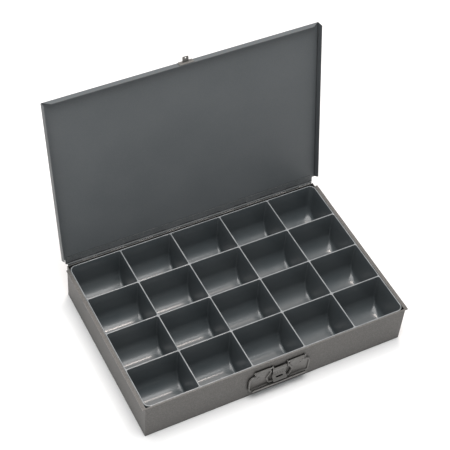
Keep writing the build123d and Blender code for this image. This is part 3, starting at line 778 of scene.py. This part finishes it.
def swungOpen(bm):
    turn = Matrix.Rotation(math.radians(-hinge["open"]), 4, "X")
    pivot = Vector((0, hinge["axisY"], hinge["axisZ"]))
    swing = Matrix.Translation(pivot) @ turn @ Matrix.Translation(-pivot)
    bmesh.ops.transform(bm, matrix=swing, verts=bm.verts)


def bodyLeafProfile(rolled):
    # up the outside of the rear wall, and round the pin where a knuckle stands
    near, far = hinge["wallY"] + hinge["wallGap"], hinge["wallY"] + hinge["leaf"]
    foot = hinge["axisZ"] - hinge["leafDown"]
    if rolled:
        outer, inner = rolledProfile(180, -hinge["rolled"])
        return [(near, foot)] + outer, [(far, foot)] + inner
    top = hinge["axisZ"] - hinge["outer"] - hinge["wallGap"]
    return [(near, foot), (near, top)], [(far, foot), (far, top)]


def lidLeafProfile(rolled):
    # along the inside of the lid, drawn with the lid shut
    near, top = hinge["axisY"] - hinge["leafAlong"], hinge["axisZ"] + hinge["stackUp"]
    if rolled:
        outer, inner = rolledProfile(90, -hinge["rolled"])
        return [(near, top)] + outer, [(near, top - hinge["leaf"])] + inner
    far = hinge["axisY"] - hinge["outer"] - hinge["lidGap"]
    return [(near, top), (far, top)], [(near, top - hinge["leaf"]), (far, top - hinge["leaf"])]


def rollLeaf(name, body, slotName, stoodFor, profile, parity):
    # the leaves take turns with the knuckles: one has the even ones, the other the odd
    bm = bmesh.new()
    pitch = 2 * hinge["half"] / hinge["knuckles"]
    for index in range(hinge["knuckles"]):
        rolled = index % 2 == parity
        clear = hinge["gap"] / 2 if rolled else -hinge["gap"] / 2
        x0 = -hinge["half"] + index * pitch
        extrudeStrip(bm, *profile(rolled), x0 + clear, x0 + pitch - clear)
    if body == "lid":
        swungOpen(bm)
    bmesh.ops.recalc_face_normals(bm, faces=bm.faces)
    piece = finishPiece(bm, name, body, slotName, hinge["sharp"], stoodFor)
    piece.data.materials.clear()
    piece.data.materials.append(hingeFinish)
    return piece


rollLeaf("rolledBodyLeaf", "case", "case_coat", "hinge_leaf_body", bodyLeafProfile, 0)
rollLeaf("rolledLidLeaf", "lid", "lid_coat", "hinge_leaf_lid", lidLeafProfile, 1)
print("hinge rolled")

# floor, light and camera
floorLook = {"size": 40.0, "colour": (0.80, 0.80, 0.80), "rough": 0.9, "below": 0.2 * mm}
daylight = {"colour": (0.92, 0.96, 1.0), "strength": 0.42}
softBoxes = [
    {
        "name": "overheadLight", "place": (-0.25, -0.1, 2.5), "aim": (-0.1, 0.0, 0.0),
        "size": 2.0, "depth": 1.6, "power": 78.0, "tint": (1.0, 0.985, 0.97),
    },
    {
        "name": "rearLight", "place": (0.46, 0.66, 2.4), "aim": (0.0, 0.0, 0.0),
        "size": 0.50, "depth": 0.20, "power": 26.0, "tint": (1.0, 0.89, 0.83),
    },
    {
        "name": "frontLight", "place": (-1.5, -2.6, 1.1), "aim": (0.0, 0.0, 0.1),
        "size": 2.2, "depth": 2.2, "power": 7.5, "tint": (1.0, 0.95, 0.90),
    },
]
cameraPlace = {
    "azimuth": -119.99, "elevation": 49.57, "roll": 4.61, "distance": 2.1984,
    "aim": (0.0241, 0.1461, 0.0), "lens": 105.12, "sensor": 36.0, "shiftX": 0.044, "shiftY": 0.050,
    "farthest": 20.0,
}


def aimed(place, aim):
    return (Vector(aim) - Vector(place)).to_track_quat("-Z", "Y").to_euler()


def layFloor():
    mesh = bpy.data.meshes.new("floorMesh")
    half = floorLook["size"] / 2
    corners = [(-half, -half, 0), (half, -half, 0), (half, half, 0), (-half, half, 0)]
    mesh.from_pydata(corners, [], [(0, 1, 2, 3)])
    floor = bpy.data.objects.new("studioFloor", mesh)
    scene.collection.objects.link(floor)
    floor.location.z = -floorLook["below"]
    mat, shader = newMaterial("floorPaint")
    shader.inputs["Base Color"].default_value = (*floorLook["colour"], 1.0)
    shader.inputs["Roughness"].default_value = floorLook["rough"]
    mesh.materials.append(mat)


def hangLights():
    world = bpy.data.worlds.new("studioWorld")
    scene.world = world
    world.use_nodes = True
    sky = world.node_tree.nodes["Background"]
    sky.inputs["Color"].default_value = (*daylight["colour"], 1.0)
    sky.inputs["Strength"].default_value = daylight["strength"]
    for box in softBoxes:
        lamp = bpy.data.lights.new(box["name"], "AREA")
        lamp.shape = "RECTANGLE"
        lamp.size = box["size"]
        lamp.size_y = box["depth"]
        lamp.energy = box["power"]
        lamp.color = box["tint"]
        holder = bpy.data.objects.new(box["name"], lamp)
        holder.location = box["place"]
        holder.rotation_euler = aimed(box["place"], box["aim"])
        scene.collection.objects.link(holder)


def setCamera():
    az, el = math.radians(cameraPlace["azimuth"]), math.radians(cameraPlace["elevation"])
    roll = math.radians(cameraPlace["roll"])
    away = Vector((math.cos(el) * math.cos(az), math.cos(el) * math.sin(az), math.sin(el)))
    level = (-away).cross(Vector((0, 0, 1))).normalized()
    upright = level.cross(-away)
    right = level * math.cos(roll) + upright * math.sin(roll)
    up = upright * math.cos(roll) - level * math.sin(roll)
    data = bpy.data.cameras.new("viewCamera")
    data.sensor_width = cameraPlace["sensor"]
    data.lens = cameraPlace["lens"]
    data.shift_x = cameraPlace["shiftX"]
    data.shift_y = cameraPlace["shiftY"]
    data.clip_end = cameraPlace["farthest"]
    camera = bpy.data.objects.new("viewCamera", data)
    basis = Matrix((right, up, away)).transposed().to_4x4()
    stand = Vector(cameraPlace["aim"]) + away * cameraPlace["distance"]
    camera.matrix_world = Matrix.Translation(stand) @ basis
    scene.collection.objects.link(camera)
    scene.camera = camera


layFloor()
hangLights()
setCamera()
scene.view_settings.view_transform = "Standard"
print("floor, lights and camera set")
